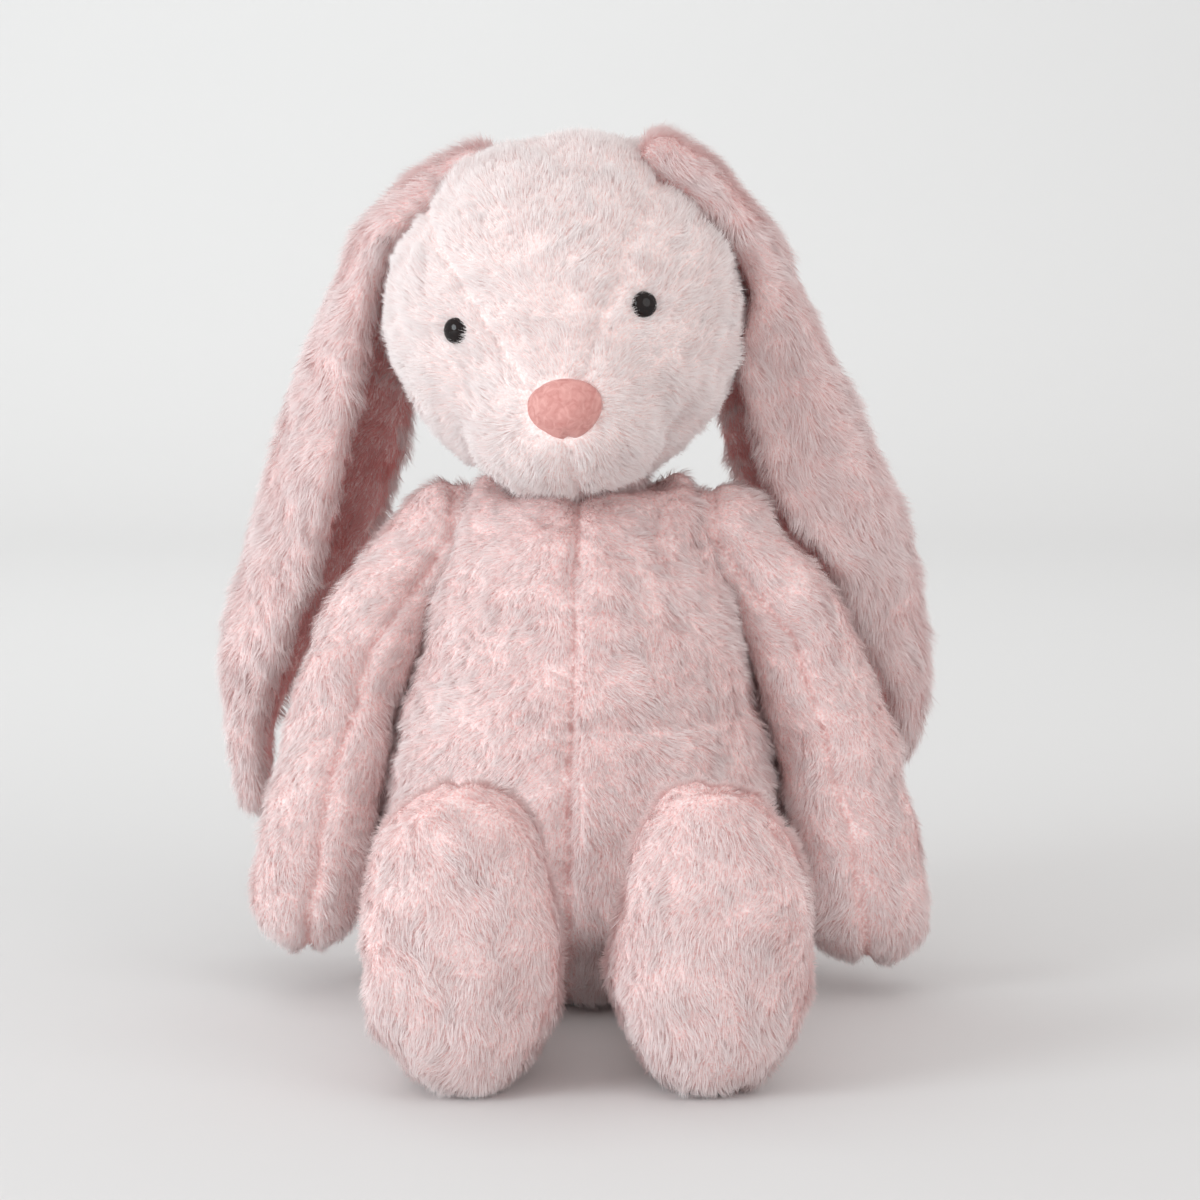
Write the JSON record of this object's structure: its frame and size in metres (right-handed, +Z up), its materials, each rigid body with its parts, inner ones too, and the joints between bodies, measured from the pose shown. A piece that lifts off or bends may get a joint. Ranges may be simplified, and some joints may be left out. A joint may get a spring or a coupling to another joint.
{
  "type": "plush rabbit",
  "caption": "Sitting plush rabbit with long lop ears, sewn fur panels over filling, button eyes and a padded nose; limbs, ears and head move.",
  "frame": {"origin": "centre of the flat seat under the torso, on the floor", "axes": "+Z up; the face looks towards -Y; +X is to the right as seen from the front"},
  "size_m": [0.3298, 0.361, 0.3928],
  "materials": {
    "fur_face": "matte",
    "fur_body": "matte",
    "fur_ear": "matte",
    "fur_lining": "matte",
    "nose_suede": "matte",
    "eye": "gloss",
    "washer": "satin",
    "fibre": "matte",
    "pouch": "matte"
  },
  "bodies": {
    "torso": {"torso_front_left": "fur_body", "torso_front_right": "fur_body", "torso_back_left": "fur_body", "torso_back_right": "fur_body", "base_panel": "fur_body", "torso_filling": "fibre", "pellet_pouch": "pouch", "tail": "fur_face"},
    "neck": {"neck_filling": "fibre"},
    "head": {"head_gusset": "fur_face", "head_side_left": "fur_face", "head_side_right": "fur_face", "head_filling": "fibre", "nose_patch": "nose_suede", "eye_left": "eye", "eye_right": "eye", "eye_washer_left": "washer", "eye_washer_right": "washer"},
    "ear_left": {"ear_left_outer": "fur_ear", "ear_left_lining": "fur_lining"},
    "arm_left": {"arm_left_outer": "fur_body", "arm_left_inner": "fur_body", "arm_left_filling": "fibre"},
    "leg_left": {"leg_left_outer": "fur_body", "leg_left_inner": "fur_body", "leg_left_sole": "fur_body", "leg_left_filling": "fibre"},
    "ear_right": {"ear_right_outer": "fur_ear", "ear_right_lining": "fur_lining"},
    "arm_right": {"arm_right_outer": "fur_body", "arm_right_inner": "fur_body", "arm_right_filling": "fibre"},
    "leg_right": {"leg_right_outer": "fur_body", "leg_right_inner": "fur_body", "leg_right_sole": "fur_body", "leg_right_filling": "fibre"}
  },
  "joints": [
    {"name": "neck_tilt", "type": "hinge", "parent": "torso", "child": "neck", "pos_m": [-0.004, 0, 0.246], "axis": [0, 1, 0], "range_deg": [-4, 4], "stiffness_Nm_per_rad": 1},
    {"name": "head_nod", "type": "hinge", "parent": "neck", "child": "head", "pos_m": [-0.004, 0, 0.246], "axis": [1, 0, 0], "range_deg": [-3, 9], "stiffness_Nm_per_rad": 1},
    {"name": "ear_left_swing", "type": "hinge", "parent": "head", "child": "ear_left", "pos_m": [-0.0506, 0.033, 0.3859], "axis": [0, 1, 0], "range_deg": [0, 100]},
    {"name": "ear_right_swing", "type": "hinge", "parent": "head", "child": "ear_right", "pos_m": [0.0378, 0.006, 0.3881], "axis": [0, -1, 0], "range_deg": [0, 100]},
    {"name": "arm_left_swing", "type": "hinge", "parent": "torso", "child": "arm_left", "pos_m": [-0.064, 0, 0.212], "axis": [-1, 0, 0], "range_deg": [0, 95]},
    {"name": "arm_right_swing", "type": "hinge", "parent": "torso", "child": "arm_right", "pos_m": [0.064, 0, 0.212], "axis": [-1, 0, 0], "range_deg": [0, 95]},
    {"name": "leg_left_swing", "type": "hinge", "parent": "torso", "child": "leg_left", "pos_m": [-0.05, -0.07, 0.034], "axis": [-1, 0, 0], "range_deg": [-30, 30], "stiffness_Nm_per_rad": 0.15},
    {"name": "leg_right_swing", "type": "hinge", "parent": "torso", "child": "leg_right", "pos_m": [0.05, -0.07, 0.034], "axis": [-1, 0, 0], "range_deg": [-30, 30], "stiffness_Nm_per_rad": 0.15}
  ]
}
